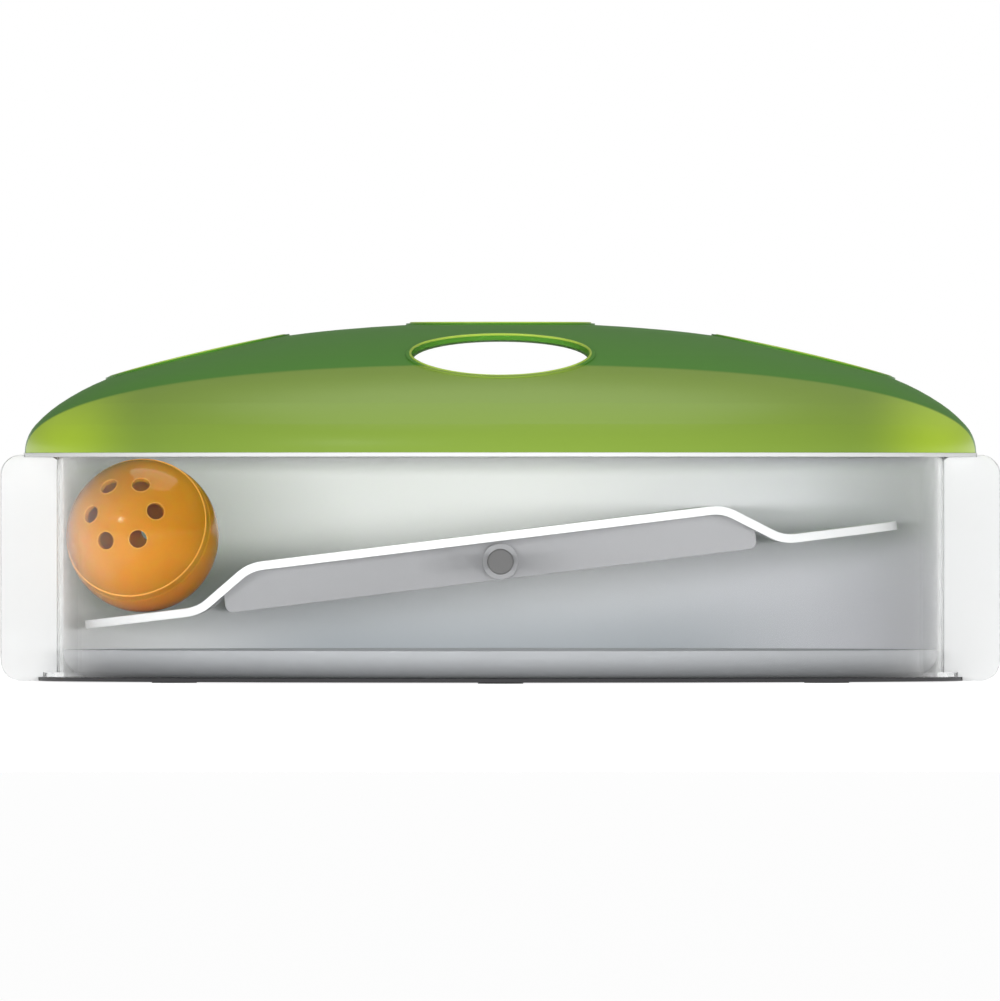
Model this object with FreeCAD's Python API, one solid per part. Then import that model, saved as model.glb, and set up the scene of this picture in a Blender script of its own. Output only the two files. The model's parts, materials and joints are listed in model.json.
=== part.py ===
import FreeCAD, Part
import math
import os

from FreeCAD import Rotation, Vector

# Cat puzzle feeder: a round tub with a domed lid, a tray that rocks inside it
# and a hollow ball that rolls on the tray and drops kibble through its holes.
# +X points right, +Y to the rear wall, +Z up. The origin is on the floor, on the
# tub's axis. All lengths are in millimetres and all angles in degrees.

# Rear wall: hollow, C-shaped in plan, with rounded edges
tub_radius = 200.0
wall_depth = 24.8
wall_height = 90.3
wall_corner = 8.0
wall_skin = 2.5
wall_seam_depth = 12.4
wall_reach = 12.0

# End caps that close the rear wall's two ends
cap_thickness = 3.0
cap_plug_length = 6.0
cap_plug_wall = 1.6
cap_clearance = 0.15

# Base plate, floor bowl and rubber feet
foot_proud = 0.5
foot_radius = 9.0
foot_recess = 0.8
foot_inset = 35.0
foot_count = 6
plate_thickness = 1.6
plate_overlap = 9.8
seat_clearance = 0.2
lug_inset = 6.0
lug_width = 12.0
lug_angles = (30.0, 60.0, 90.0, 120.0, 150.0)
bowl_floor = 2.0
bowl_height = 10.9
bowl_clearance = 0.3

# Clear front window
window_thickness = 2.5
window_foot_width = 6.9
window_foot_thickness = 2.0
window_slot_depth = 2.0

# Rim ring on top of the walls, with the fence that centres the lid
ring_thickness = 1.6
ring_sunk = 0.8
ring_margin = 0.4
ring_lip = 1.6
ring_groove_depth = 0.6
fence_height = 2.6
fence_width = 2.0

# Domed lid with its paw holes
lid_inset = 9.7
lid_rise = 52.2
lid_wall = 2.0
lid_leans = (0.0, 14.0, 34.0, 90.0)
lid_clearance = 0.6
paw_hole_radius = 35.6
paw_hole_inset = 68.8
paw_hole_count = 4
hole_lip_height = 0.6
hole_lip_width = 2.2

# Rocking tray, measured from the pivot with the tray level
pivot_height = 48.4
tilt_angle = 7.0
tray_gap = 11.7
tray_offset = -4.4
tray_thickness = 3.4
plateau_top = 11.6
trough_top = -3.4
trough_width = 42.0
step_width = 32.0
step_angle = 34.0
tray_rib_thickness = 2.0
tray_rib_height = 7.0
tray_rib_insets = (5.5, 27.5)
tray_rib_end_gap = 1.0

# Rails under the tray, and the bushes in their hubs
rail_inset = 53.5
rail_thickness = 3.0
rail_end_inset = 15.0
rail_bottom = -7.2
rail_corner = 3.0
rail_flange_width = 9.0
rail_flange_thickness = 2.0
rail_flange_inset = 5.5
hub_length = 12.0
bush_radius = 4.8
running_clearance = 0.05

# Axle, its front cap and its rear boss
axle_radius = 3.0
axle_rear_depth = 7.8
axle_rear_floor = 2.2
axle_cap_radius = 5.15
axle_cap_depth = 1.2
axle_stub = 2.4
boss_radius = 6.0
boss_length = 7.5

# Stop block on the axle, which ends the tray's tilt on each side
stop_end_inset = 39.5
stop_half_width = 12.0
stop_tip_thickness = 2.2
pad_thickness = 0.8
pad_length = 14.0
stop_gap = 0.1
stop_pin_radius = 1.0
stop_pin_reach = 2.0
stop_keel = 2.2

# Treat ball, measured from its centre with its pole up
ball_radius = 30.5
ball_wall = 2.0
ball_wall_gap = 1.6
ball_clearance = 0.3
ball_seam_height = 6.3
ball_seam_gap = 0.1
ball_seam_bevel = 0.5
neck_height = 12.5
neck_depth = 4.0
neck_wall = 1.5
neck_clearance = 0.1
kibble_hole_radius = 3.5
kibble_hole_polar = 26.0
kibble_hole_count = 6
kibble_hole_phase = 3.0
ball_turn = 16.5
ball_tip = 19.9
lug_count = 3
ball_lug_rise = 0.6
ball_lug_span = 14.0
ball_lug_base = 7.6
ball_lug_tall = 2.0
ball_twist = 30.0
groove_clearance = 0.3

# Screws
screw_radius = 1.4
screw_head_radius = 2.7
screw_head_depth = 1.3
screw_length = 9.0
screw_boss_radius = 3.5
screw_boss_height = 8.0
wall_screw_inset = 9.4
bowl_screw_inset = 75.2
bowl_screw_count = 4
rail_screw_inset = 12.0
rail_screw_count = 4
rail_screw_bite = 2.4
rail_screw_radius = 1.3
rail_screw_head_radius = 2.7
rail_screw_head_height = 1.8

# Sizes that follow from the ones above
inner_radius = tub_radius - wall_depth
wall_bottom = foot_proud
wall_top = wall_bottom + wall_height
seam_radius = tub_radius - wall_seam_depth
plate_top = foot_proud + plate_thickness
ring_bottom = wall_top - ring_sunk
ring_top = ring_bottom + ring_thickness
window_outer = inner_radius + window_thickness
plate_radius = inner_radius + plate_overlap
lug_radius = tub_radius - lug_inset
foot_circle = plate_radius - foot_inset
lid_radius = tub_radius - lid_inset
lid_inner_radius = lid_radius - lid_wall
ring_radius = lid_radius + ring_margin
paw_hole_circle = lid_radius - paw_hole_inset
wall_screw_circle = tub_radius - wall_screw_inset
bowl_screw_circle = inner_radius - bowl_screw_inset
tray_radius = inner_radius - tray_gap
plateau_half = tray_radius - trough_width - step_width
tray_underside = plateau_top - tray_thickness
stop_half_length = plateau_half - stop_end_inset
rail_distance = tray_radius - rail_inset
rail_half_length = math.sqrt(tray_radius ** 2 - rail_distance ** 2) - rail_end_inset
rail_flange_half = plateau_half - rail_flange_inset
ball_level_height = trough_top + ball_clearance + ball_radius
ball_reach = inner_radius - ball_wall_gap - ball_radius
ball_lean = math.radians(tilt_angle)
ball_orbit = (ball_reach - ball_level_height * math.sin(ball_lean)) / math.cos(ball_lean)
beyond = 2.0 * tub_radius
axis_z = Vector(0, 0, 1)
axis_y = Vector(0, 1, 0)
centre = Vector(0, 0, 0)


def line(r1, z1, r2, z2):
    """A straight edge in the X-Z plane."""
    return Part.LineSegment(Vector(r1, 0, z1), Vector(r2, 0, z2)).toShape()


def arc(cr, cz, radius, start, end):
    """A round edge in the X-Z plane about (cr, cz), by its angles from +X."""
    points = []
    for angle in (start, (start + end) / 2.0, end):
        turn = math.radians(angle)
        points.append(Vector(cr + radius * math.cos(turn), 0, cz + radius * math.sin(turn)))
    return Part.Arc(*points).toShape()


def face(edges):
    """The flat face inside a closed chain of edges."""
    return Part.Face(Part.Wire(edges))


def turned(outline, angle=360.0):
    """A face in the X-Z plane carried round the vertical axis."""
    return outline.revolve(centre, axis_z, angle)


def ring(inner, outer, low, high):
    """A plain round ring on the tub's axis."""
    body = Part.makeCylinder(outer, high - low, Vector(0, 0, low))
    return body.cut(Part.makeCylinder(inner, high - low, Vector(0, 0, low)))


def slab(low_y, high_y):
    """All the space between two planes that face front and rear."""
    return Part.makeBox(2 * beyond, high_y - low_y, 2 * beyond, Vector(-beyond, low_y, -beyond))


def side(sign):
    """All the space to the right of the axis, or to the left with a sign of -1."""
    return Part.makeBox(beyond, 2 * beyond, 2 * beyond, Vector(min(0, sign * beyond), -beyond, -beyond))


def on_circle(radius, angle, z=0.0):
    """A point on a circle about the tub's axis."""
    turn = math.radians(angle)
    return Vector(radius * math.cos(turn), radius * math.sin(turn), z)


def fused(shapes):
    """One solid from shapes that touch or overlap."""
    return shapes[0].multiFuse(shapes[1:]).removeSplitter()


def group(shapes):
    """Separate solids kept as one piece of the list, such as a set of screws."""
    return Part.makeCompound(shapes)


def to_rocker(shape):
    """Puts a shape that was drawn with the tray level at the pivot, left side down."""
    placed = shape.copy()
    placed.rotate(centre, axis_y, -tilt_angle)
    placed.translate(Vector(0, 0, pivot_height))
    return placed


def rounded_section(inset):
    """The rear wall's cross-section, drawn in by an even inset."""
    r1 = inner_radius + inset
    r2 = tub_radius - inset
    z1 = wall_bottom + inset
    z2 = wall_top - inset
    c = wall_corner - inset
    return face([
        line(r1 + c, z1, r2 - c, z1),
        arc(r2 - c, z1 + c, c, -90, 0),
        line(r2, z1 + c, r2, z2 - c),
        arc(r2 - c, z2 - c, c, 0, 90),
        line(r2 - c, z2, r1 + c, z2),
        arc(r1 + c, z2 - c, c, 90, 180),
        line(r1, z2 - c, r1, z1 + c),
        arc(r1 + c, z1 + c, c, 180, 270),
    ])


def wall_screw_points():
    """Where the base plate's lugs are screwed to the rear wall."""
    return [on_circle(wall_screw_circle, angle) for angle in lug_angles]


def bowl_screw_points():
    """Where the base plate is screwed to the floor bowl."""
    step = 360.0 / bowl_screw_count
    return [on_circle(bowl_screw_circle, (i + 0.5) * step) for i in range(bowl_screw_count)]


def screw_post(point, low, height):
    """A round boss that stands on a floor, without its hole."""
    return Part.makeCylinder(screw_boss_radius, height, Vector(point.x, point.y, low))


def screw_hole(point):
    """The space of one countersunk screw that comes up through the base plate."""
    base = Vector(point.x, point.y, foot_proud)
    head = Part.makeCone(screw_head_radius, screw_radius, screw_head_depth, base)
    shank = Part.makeCylinder(screw_radius, screw_length, base)
    return head.fuse(shank).removeSplitter()


def plate_lug(angle, clearance):
    """A lug of the base plate, from inside the plate's rim out to its rounded tip."""
    half = lug_width / 2.0 + clearance
    reach = lug_radius - lug_width / 2.0
    start = plate_radius - wall_corner
    arm = Part.makeBox(reach - start, 2 * half, plate_thickness, Vector(start, -half, foot_proud))
    tip = Part.makeCylinder(half, plate_thickness, Vector(reach, 0, foot_proud))
    lug = arm.fuse(tip).removeSplitter()
    lug.rotate(centre, axis_z, angle)
    return lug


def wall_moulding(low_radius, high_radius):
    """The hollow wall's skin between two radii, with seats for the ring and the base plate."""
    skin = turned(rounded_section(0)).cut(turned(rounded_section(wall_skin)))
    skin = skin.common(ring(low_radius, high_radius, 0, ring_top))
    skin = skin.common(slab(-wall_reach, beyond))
    skin = skin.cut(ring(inner_radius - ring_lip, ring_radius + seat_clearance, ring_bottom, ring_top))
    skin = skin.cut(Part.makeCylinder(plate_radius + seat_clearance, plate_top))
    for angle in lug_angles:
        skin = skin.cut(plate_lug(angle, seat_clearance))
    return skin


def rear_wall_outer():
    """White outside of the rear wall, with bosses for the base plate's screws."""
    shell = wall_moulding(seam_radius, beyond)
    posts = []
    for point in wall_screw_points():
        post = screw_post(point, plate_top, screw_boss_height)
        posts.append(post.common(ring(seam_radius, tub_radius - wall_skin / 2.0, 0, wall_top)))
    shell = fused([shell] + posts)
    for point in wall_screw_points():
        shell = shell.cut(screw_hole(point))
    return shell


def rear_wall_inner():
    """Inner side of the rear wall, with the blind boss that holds the axle's rear end."""
    shell = wall_moulding(inner_radius - wall_skin, seam_radius)
    start = Vector(0, inner_radius + wall_skin / 2.0, pivot_height)
    boss_depth = axle_rear_depth - wall_skin / 2.0 + axle_rear_floor
    boss = Part.makeCylinder(boss_radius, boss_depth, start, axis_y)
    bore = Part.makeCylinder(axle_radius, axle_rear_end(), Vector(0, 0, pivot_height), axis_y)
    return fused([shell, boss]).cut(bore)


def axle_rear_end():
    """How far from the tub's axis the steel axle ends in the rear wall's blind boss."""
    return inner_radius + axle_rear_depth


def end_cap(sign):
    """Cap on one end of the rear wall: a rounded plate with a hollow plug behind it."""
    front = -wall_reach - cap_thickness
    plate = turned(rounded_section(0)).common(slab(front, -wall_reach))
    inset = wall_skin + cap_clearance
    plug = turned(rounded_section(inset)).cut(turned(rounded_section(inset + cap_plug_wall)))
    plug = plug.common(slab(-wall_reach, -wall_reach + cap_plug_length))
    cap = fused([plate.common(side(sign)), plug.common(side(sign))])
    cap = cap.cut(ring(inner_radius - ring_lip, ring_radius + seat_clearance, ring_bottom, ring_top))
    cap = cap.cut(Part.makeCylinder(plate_radius + seat_clearance, plate_top))
    slot = ring(
        inner_radius - cap_clearance,
        window_outer + cap_clearance,
        wall_bottom,
        ring_top,
    )
    slot = slot.common(slab(-beyond, front + window_slot_depth + cap_clearance))
    return cap.cut(slot)


def base_plate():
    """Round plate under the tub, with lugs, seats for the feet and screw holes."""
    plate = Part.makeCylinder(plate_radius, plate_thickness, Vector(0, 0, foot_proud))
    plate = fused([plate] + [plate_lug(angle, 0) for angle in lug_angles])
    for foot in foot_solids():
        plate = plate.cut(foot)
    for point in wall_screw_points() + bowl_screw_points():
        plate = plate.cut(screw_hole(point))
    return plate


def foot_solids():
    """Soft feet: one under the middle of the base plate and a ring of them round it."""
    places = [centre]
    for i in range(foot_count):
        places.append(on_circle(foot_circle, (i + 0.5) * 360.0 / foot_count))
    height = foot_proud + foot_recess
    return [Part.makeCylinder(foot_radius, height, place) for place in places]


def base_screws():
    """Countersunk screws that hold the wall and the bowl on the base plate."""
    points = wall_screw_points() + bowl_screw_points()
    return group([screw_hole(point) for point in points])


def floor_bowl():
    """Shallow bowl that lines the floor, with a round cove up to a low lip."""
    r = inner_radius - bowl_clearance
    z = plate_top
    t = bowl_floor
    c = bowl_height
    outline = face([
        line(0, z, r - c, z),
        arc(r - c, z + c, c, -90, 0),
        line(r, z + c, r - t, z + c),
        arc(r - c, z + c, c - t, 0, -90),
        line(r - c, z + t, 0, z + t),
        line(0, z + t, 0, z),
    ])
    posts = [screw_post(point, z + t / 2.0, screw_boss_height) for point in bowl_screw_points()]
    bowl = fused([turned(outline)] + posts)
    for point in bowl_screw_points():
        bowl = bowl.cut(screw_hole(point))
    return bowl


def front_window():
    """Clear curved wall across the front, with a foot under it and the axle's front boss."""
    top = ring_bottom + ring_groove_depth
    end = -wall_reach - cap_thickness
    wall = ring(inner_radius, window_outer, plate_top, top)
    wall = wall.common(slab(-beyond, end + window_slot_depth))
    foot_outer = window_outer + window_foot_width
    foot = ring(inner_radius, foot_outer, plate_top, plate_top + window_foot_thickness)
    foot = foot.common(slab(-beyond, end - cap_clearance))
    boss_start = Vector(0, -window_outer + window_thickness / 2.0, pivot_height)
    boss = Part.makeCylinder(boss_radius, boss_length, boss_start, axis_y)
    window = fused([wall, foot, boss])
    bore = Part.makeCylinder(axle_radius, tub_radius, Vector(0, -tub_radius, pivot_height), axis_y)
    return window.cut(bore)


def rim_ring():
    """White ring on the walls' top edge: the lid's seat, and the fence that centres it."""
    inner = inner_radius - ring_lip
    fence_outer = lid_inner_radius - lid_clearance
    flange = ring(inner, ring_radius, ring_bottom, ring_top)
    fence = ring(fence_outer - fence_width, fence_outer, ring_top, ring_top + fence_height)
    groove = ring(
        inner_radius - cap_clearance,
        window_outer + cap_clearance,
        ring_bottom,
        ring_bottom + ring_groove_depth,
    )
    return fused([flange, fence]).cut(groove)


def dome_point(lean):
    """Point of the dome's half ellipse where its normal leans by an angle from the pole, and that normal."""
    normal = Vector(math.sin(lean), 0, math.cos(lean))
    width = lid_radius * normal.x
    height = lid_rise * normal.z
    return Vector(lid_radius * width, 0, lid_rise * height) / math.hypot(width, height), normal


def dome_arcs():
    """Centre, radius and end angle from the pole of the tangent arcs that follow the dome's half ellipse.

    Between two points of the ellipse stand two arcs that meet on one tangent.
    """
    arcs = []
    ends = [dome_point(math.radians(lean)) for lean in lid_leans]
    for (first, first_normal), (last, last_normal) in zip(ends, ends[1:]):
        first_way = Vector(first_normal.z, 0, -first_normal.x)
        last_way = Vector(last_normal.z, 0, -last_normal.x)
        chord = last - first
        along = chord.dot(first_way + last_way)
        spread = 2 - 2 * first_way.dot(last_way)
        reach = (math.sqrt(along ** 2 + spread * chord.dot(chord)) - along) / spread
        meeting = (first + last + (first_way - last_way) * reach) / 2
        for point, normal in ((first, first_normal), (last, last_normal)):
            to_meeting = meeting - point
            radius = -to_meeting.dot(to_meeting) / (2 * to_meeting.dot(normal))
            middle = point - normal * radius
            finish = meeting if point is first else last
            end = math.degrees(math.atan2(finish.x - middle.x, finish.z - middle.z))
            arcs.append((middle, radius, end))
    return arcs


def dome_solid(grown):
    """The space under the dome, with its outside moved out by a distance, down to the ring."""
    edges = []
    start = 0.0
    for middle, radius, end in dome_arcs():
        edges.append(arc(middle.x, ring_top + middle.z, radius + grown, 90 - start, 90 - end))
        start = end
    rim = lid_radius + grown
    edges.append(line(rim, ring_top, 0, ring_top))
    edges.append(line(0, ring_top, 0, ring_top + lid_rise + grown))
    return turned(face(edges))


def paw_hole_places():
    """Each paw hole's angle about the tub's axis and its distance from it."""
    step = 360.0 / paw_hole_count
    return [(0.0, 0.0)] + [(i * step, paw_hole_circle) for i in range(paw_hole_count)]


def hole_cylinder(radius, angle, circle):
    """A cylinder square to the dome at one paw hole."""
    height = lid_rise * math.sqrt(1 - (circle / lid_radius) ** 2)
    lean = math.atan2(circle / lid_radius ** 2, height / lid_rise ** 2)
    body = Part.makeCylinder(radius, lid_rise, Vector(0, 0, -lid_rise / 2.0))
    body.rotate(centre, axis_y, math.degrees(lean))
    body.translate(Vector(circle, 0, ring_top + height))
    body.rotate(centre, axis_z, angle)
    return body


def dome_lid():
    """Domed lid: half an ellipsoid of tangent arcs, with lipped paw holes square to its wall."""
    inside = dome_solid(-lid_wall)
    lid = dome_solid(0.0).cut(inside)
    raised = dome_solid(hole_lip_height).cut(inside)
    outer = paw_hole_radius + hole_lip_width
    lips = [raised.common(hole_cylinder(outer, *place)) for place in paw_hole_places()]
    lid = fused([lid] + lips)
    for place in paw_hole_places():
        lid = lid.cut(hole_cylinder(paw_hole_radius, *place))
    return lid


def step_radius():
    """Radius of the two bends in each step of the tray, from the step's width, height and slope."""
    slope = math.radians(step_angle)
    height = plateau_top - trough_top
    spare = step_width * math.sin(slope) - height * math.cos(slope)
    return spare / (2 * (1 - math.cos(slope)))


def tray_line(offset, reach):
    """Edges of a line that runs beside the tray's middle surface, from left to right."""
    high = plateau_top - tray_thickness / 2.0
    low = trough_top - tray_thickness / 2.0
    bend = step_radius()
    slope = step_angle
    convex = bend + offset
    concave = bend - offset
    x1 = plateau_half
    x2 = plateau_half + step_width
    rad = math.radians(slope)
    top_x = x1 + convex * math.sin(rad)
    top_z = high - bend + convex * math.cos(rad)
    foot_x = x2 - concave * math.sin(rad)
    foot_z = low + bend - concave * math.cos(rad)
    return [
        line(-reach, low + offset, -x2, low + offset),
        arc(-x2, low + bend, concave, 270, 270 + slope),
        line(-foot_x, foot_z, -top_x, top_z),
        arc(-x1, high - bend, convex, 90 + slope, 90),
        line(-x1, high + offset, x1, high + offset),
        arc(x1, high - bend, convex, 90, 90 - slope),
        line(top_x, top_z, foot_x, foot_z),
        arc(x2, low + bend, concave, 270 - slope, 270),
        line(x2, low + offset, reach, low + offset),
    ]


def tray_level():
    """The tray before it is tilted: a stepped sheet trimmed round, with ribs under its plateau."""
    reach = tray_radius + tray_thickness
    half = tray_thickness / 2.0
    low = trough_top - half
    upper = tray_line(half, reach)
    lower = tray_line(-half, reach)
    ends = [
        line(-reach, low - half, -reach, low + half),
        line(reach, low - half, reach, low + half),
    ]
    outline = face(Part.__sortEdges__(upper + lower + ends))
    sheet = outline.extrude(Vector(0, 2 * reach, 0))
    sheet.translate(Vector(0, -reach, 0))
    sheet = sheet.common(Part.makeCylinder(tray_radius, 2 * beyond, Vector(0, 0, -beyond)))
    rib_half_width = rail_distance - rail_thickness / 2.0 - rail_flange_width - tray_rib_end_gap
    ribs = []
    for inset in tray_rib_insets:
        for sign in (-1, 1):
            corner = Vector(
                sign * (plateau_half - inset) - tray_rib_thickness / 2.0,
                -rib_half_width,
                tray_underside - tray_rib_height,
            )
            size = (tray_rib_thickness, 2 * rib_half_width, tray_rib_height + tray_thickness / 2.0)
            ribs.append(Part.makeBox(*size, corner))
    tray = fused([sheet] + ribs)
    tray.translate(Vector(tray_offset, 0, 0))
    return tray


def rail_screw_points(sign):
    """Where one rail's flange is screwed up into the tray, in the level tray's frame."""
    y = sign * (rail_distance - rail_thickness / 2.0 - rail_flange_width / 2.0)
    first = rail_screw_inset - rail_flange_half
    step = -2 * first / (rail_screw_count - 1)
    return [Vector(tray_offset + first + i * step, y, tray_underside) for i in range(rail_screw_count)]


def rail_screw(point):
    """One short screw from under the flange into the tray."""
    head_top = point.z - rail_flange_thickness
    shank_height = rail_flange_thickness + rail_screw_bite
    shank = Part.makeCylinder(rail_screw_radius, shank_height, Vector(point.x, point.y, head_top))
    low = Vector(point.x, point.y, head_top - rail_screw_head_height)
    head = Part.makeCylinder(rail_screw_head_radius, rail_screw_head_height, low)
    return fused([head, shank])


def rocker_tray():
    """The tray at rest, with blind holes for the rails' screws."""
    tray = tray_level()
    for sign in (-1, 1):
        for point in rail_screw_points(sign):
            tray = tray.cut(rail_screw(point))
    return to_rocker(tray)


def rail(sign):
    """A rail under the tray: a web that fills the step's hollow, a flange and a bearing hub."""
    reach = tray_radius
    upper = tray_line(-tray_thickness / 2.0, reach)
    floor = rail_bottom - rail_thickness
    low = trough_top - tray_thickness
    rest = [
        line(-reach, floor, reach, floor),
        line(-reach, floor, -reach, low),
        line(reach, floor, reach, low),
    ]
    outline = face(Part.__sortEdges__(upper + rest))
    web = outline.extrude(Vector(0, rail_thickness, 0))
    y = sign * rail_distance - rail_thickness / 2.0
    web.translate(Vector(0, y, 0))
    window = Part.makeBox(
        2 * rail_half_length,
        rail_thickness,
        plateau_top - rail_bottom,
        Vector(-rail_half_length, y, rail_bottom),
    )
    lower_edges = [e for e in window.Edges if is_low_end(e)]
    web = web.common(window.makeFillet(rail_corner, lower_edges))
    flange_y = sign * (rail_distance - rail_thickness / 2.0)
    flange = Part.makeBox(
        2 * rail_flange_half,
        rail_flange_width,
        rail_flange_thickness,
        Vector(
            -rail_flange_half,
            min(flange_y, flange_y - sign * rail_flange_width),
            tray_underside - rail_flange_thickness,
        ),
    )
    hub = Part.makeCylinder(
        -rail_bottom,
        hub_length,
        Vector(-tray_offset, sign * rail_distance - hub_length / 2.0, 0),
        axis_y,
    )
    body = fused([web, flange, hub])
    body.translate(Vector(tray_offset, 0, 0))
    bore_start = Vector(0, sign * rail_distance - hub_length, 0)
    body = body.cut(Part.makeCylinder(bush_radius, 2 * hub_length, bore_start, axis_y))
    for point in rail_screw_points(sign):
        body = body.cut(rail_screw(point))
    return to_rocker(body)


def is_low_end(edge):
    """True for the two short edges at the bottom ends of a rail's outline."""
    along_y = abs(edge.Vertexes[0].Z - edge.Vertexes[-1].Z) < 0.01
    same_x = abs(edge.Vertexes[0].X - edge.Vertexes[-1].X) < 0.01
    return along_y and same_x and abs(edge.Vertexes[0].Z - rail_bottom) < 0.01


def rail_screws():
    """The short screws of both rails."""
    screws = []
    for sign in (-1, 1):
        for point in rail_screw_points(sign):
            screws.append(to_rocker(rail_screw(point)))
    return group(screws)


def bush(sign):
    """Plain bearing bush pressed into a rail's hub."""
    start = Vector(0, sign * rail_distance - hub_length / 2.0, 0)
    body = Part.makeCylinder(bush_radius, hub_length, start, axis_y)
    body = body.cut(Part.makeCylinder(axle_radius + running_clearance, hub_length, start, axis_y))
    return to_rocker(body)


def axle():
    """Steel axle from the cap outside the window to the blind boss in the rear wall."""
    front = -window_outer - axle_stub
    start = Vector(0, front, pivot_height)
    body = Part.makeCylinder(axle_radius, axle_rear_end() - front, start, axis_y)
    return body.cut(pin_solid())


def axle_cap():
    """Round push-on cap over the axle's front end."""
    depth = axle_stub + axle_cap_depth
    start = Vector(0, -window_outer - depth, pivot_height)
    body = Part.makeCylinder(axle_cap_radius, depth, start, axis_y)
    rim = [e for e in body.Edges if abs(e.BoundBox.YMax - start.y) < 0.01 and e.Closed]
    body = body.makeChamfer(axle_cap_depth / 2.0, rim)
    stub = Part.makeCylinder(axle_radius, axle_stub, Vector(0, -window_outer - axle_stub, pivot_height), axis_y)
    return body.cut(stub)


def pin_solid():
    """Cross pin that stops the stop block from turning on the axle."""
    low = Vector(0, 0, pivot_height - axle_radius - stop_pin_reach)
    return Part.makeCylinder(stop_pin_radius, 2 * (axle_radius + stop_pin_reach), low)


def stop_face_height():
    """Height above the pivot of the stop's ridge, under the pads."""
    lean = math.radians(tilt_angle)
    return (tray_underside - stop_gap - pad_thickness) / math.cos(lean)


def tilt_stop():
    """Stop block: a ridge whose two roof slopes meet the tray's underside at its two ends of tilt."""
    fall = stop_half_length * math.tan(math.radians(tilt_angle))
    ridge = stop_face_height()
    tip = ridge - fall
    keel = -axle_radius - stop_keel
    outline = face([
        line(0, ridge, stop_half_length, tip),
        line(stop_half_length, tip, stop_half_length, tip - stop_tip_thickness),
        line(stop_half_length, tip - stop_tip_thickness, axle_radius, keel),
        line(axle_radius, keel, -axle_radius, keel),
        line(-axle_radius, keel, -stop_half_length, tip - stop_tip_thickness),
        line(-stop_half_length, tip - stop_tip_thickness, -stop_half_length, tip),
        line(-stop_half_length, tip, 0, ridge),
    ])
    block = outline.extrude(Vector(0, 2 * stop_half_width, 0))
    block.translate(Vector(0, -stop_half_width, pivot_height))
    start = Vector(0, -stop_half_width, pivot_height)
    block = block.cut(Part.makeCylinder(axle_radius, 2 * stop_half_width, start, axis_y))
    return block.cut(pin_solid())


def stop_pads():
    """Soft pads on the outer ends of the stop block's two slopes."""
    pads = []
    lean = math.radians(tilt_angle)
    for sign in (-1, 1):
        far = stop_half_length / math.cos(lean)
        pad = Part.makeBox(pad_length, 2 * stop_half_width, pad_thickness, Vector(far - pad_length, -stop_half_width, 0))
        pad.rotate(centre, axis_y, tilt_angle)
        if sign < 0:
            pad.rotate(centre, axis_z, 180)
        pad.translate(Vector(0, 0, pivot_height + stop_face_height()))
        pads.append(pad)
    return group(pads)


def sphere_point(radius, z):
    """Radius from the pole's axis of a point at height z on a sphere."""
    return math.sqrt(radius * radius - z * z)


def sphere_arc(radius, z1, z2):
    """Round edge on a sphere about the origin, from one height to another."""
    start = math.degrees(math.asin(z1 / radius))
    end = math.degrees(math.asin(z2 / radius))
    return arc(0, 0, radius, start, end)


def kibble_holes(pole):
    """Cylinders for a ring of kibble holes round the upper pole (1) or the lower one (-1)."""
    holes = []
    for i in range(kibble_hole_count):
        hole = Part.makeCylinder(kibble_hole_radius, 2 * ball_radius)
        hole.rotate(centre, axis_y, kibble_hole_polar)
        hole.rotate(centre, axis_z, kibble_hole_phase + i * 360.0 / kibble_hole_count)
        if pole < 0:
            hole.rotate(centre, Vector(1, 0, 0), 180)
        holes.append(hole)
    return holes


def lug_blocks(clearance, sweep):
    """Bayonet lugs on the neck, or with a clearance and a sweep the grooves that they run in."""
    inner = ball_radius - ball_wall - neck_clearance - neck_wall / 2.0
    outer = ball_radius - ball_wall - neck_clearance + ball_lug_rise + clearance
    low = ball_lug_base - clearance
    high = ball_lug_base + ball_lug_tall + clearance
    outline = face([
        line(sphere_point(inner, low), low, sphere_point(outer, low), low),
        sphere_arc(outer, low, high),
        line(sphere_point(outer, high), high, sphere_point(inner, high), high),
        sphere_arc(inner, high, low),
    ])
    margin = math.degrees(clearance / ball_radius)
    blocks = []
    for i in range(lug_count):
        block = turned(outline, ball_lug_span + 2 * margin + sweep)
        block.rotate(centre, axis_z, i * 360.0 / lug_count - margin - sweep)
        blocks.append(block)
    return blocks


def lug_entries():
    """Short ways down to the cap's rim, where the lugs leave their grooves."""
    inner = ball_radius - ball_wall - 1.0
    outer = ball_radius - ball_wall - neck_clearance + ball_lug_rise + groove_clearance
    low = ball_seam_height
    high = ball_lug_base + ball_lug_tall
    outline = face([
        line(sphere_point(inner, low), low, sphere_point(outer, low), low),
        sphere_arc(outer, low, high),
        line(sphere_point(outer, high), high, sphere_point(inner, high), high),
        sphere_arc(inner, high, low),
    ])
    margin = math.degrees(groove_clearance / ball_radius)
    entries = []
    for i in range(lug_count):
        entry = turned(outline, ball_lug_span + 2 * margin)
        entry.rotate(centre, axis_z, i * 360.0 / lug_count - margin - ball_twist)
        entries.append(entry)
    return entries


def to_ball(shape):
    """Puts a shape drawn about the ball's pole at the ball's place and lean."""
    placed = shape.copy()
    placed.rotate(centre, Vector(1, 0, 0), 90 - ball_tip)
    placed.rotate(centre, axis_z, -ball_turn)
    placed.translate(ball_centre())
    return placed


def ball_centre():
    """Middle of the ball at rest, in the trough at the tray's low side."""
    level = Vector(-ball_orbit, 0, ball_level_height)
    return Rotation(axis_y, -tilt_angle).multVec(level) + Vector(0, 0, pivot_height)


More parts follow.
